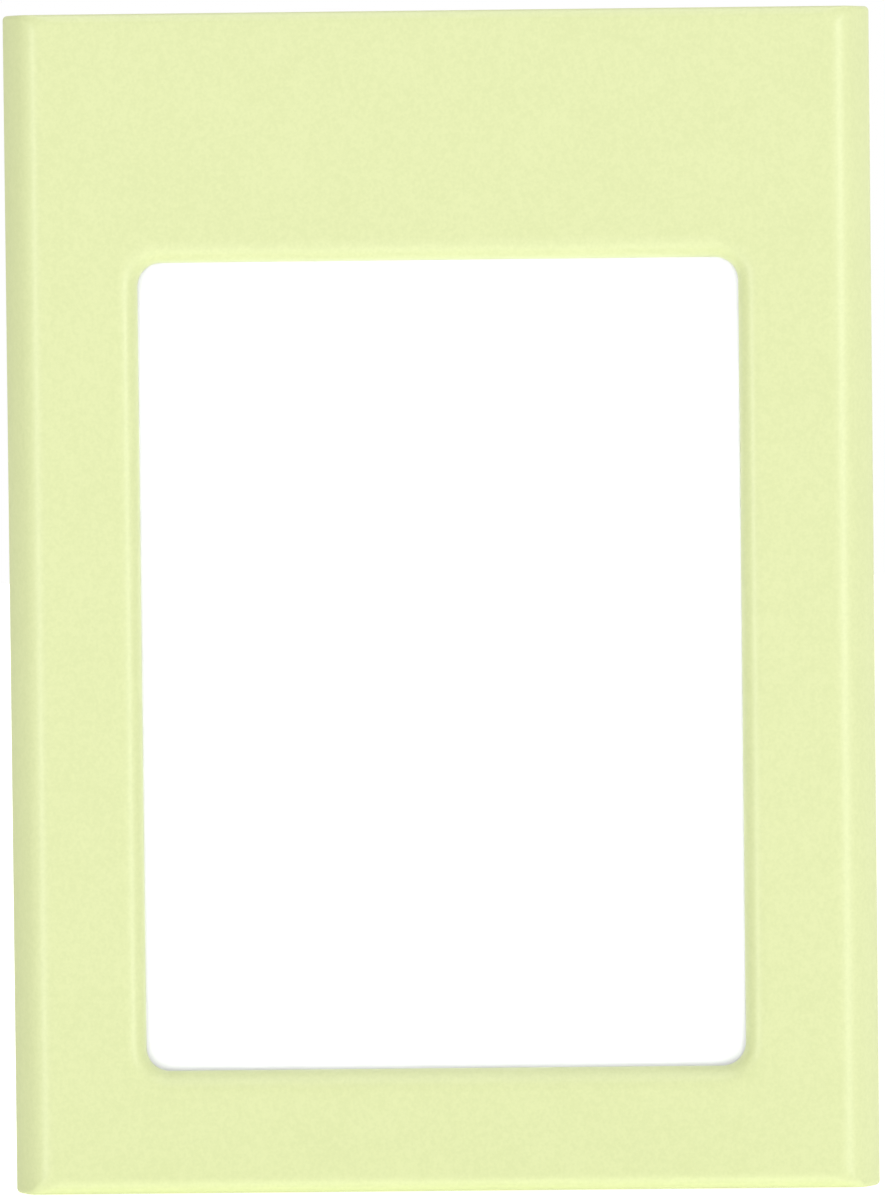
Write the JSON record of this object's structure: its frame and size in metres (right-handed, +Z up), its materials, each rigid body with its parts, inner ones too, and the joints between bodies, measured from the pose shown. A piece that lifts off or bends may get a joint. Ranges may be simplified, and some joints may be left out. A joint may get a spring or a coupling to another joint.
{
  "type": "magnetic photo frame",
  "caption": "Slim upright photo frame with rolled sides and a rounded window; an instant print slides in at the top behind a clear sheet, and disc magnets in the back hold it on steel.",
  "frame": {"origin": "centre of the flat back, in the plane that lies against the steel", "axes": "+X to the right seen from the front, +Y out of the back towards the steel, +Z up towards the print slot"},
  "size_m": [0.0664, 0.0052, 0.0904],
  "materials": {
    "frame_plastic": "matte",
    "cover_plastic": "matte",
    "clear_sheet": "gloss",
    "adhesive_film": "satin",
    "white_card": "matte",
    "nickel_plate": "polished",
    "cured_glue": "satin"
  },
  "bodies": {
    "frame": {"front_frame": "frame_plastic", "window_pane": "clear_sheet", "pane_tape": "adhesive_film", "back_cover": "cover_plastic", "magnet_upper_left": "nickel_plate", "magnet_upper_right": "nickel_plate", "magnet_lower_left": "nickel_plate", "magnet_lower_right": "nickel_plate", "glue_disc_upper_left": "cured_glue", "glue_disc_upper_right": "cured_glue", "glue_disc_lower_left": "cured_glue", "glue_disc_lower_right": "cured_glue"},
    "insert": {"insert_card": "white_card"}
  },
  "joints": [
    {"name": "insert_slide", "type": "slide", "parent": "frame", "child": "insert", "axis": [0, 0, 1], "range_m": [0, 0.09]}
  ]
}
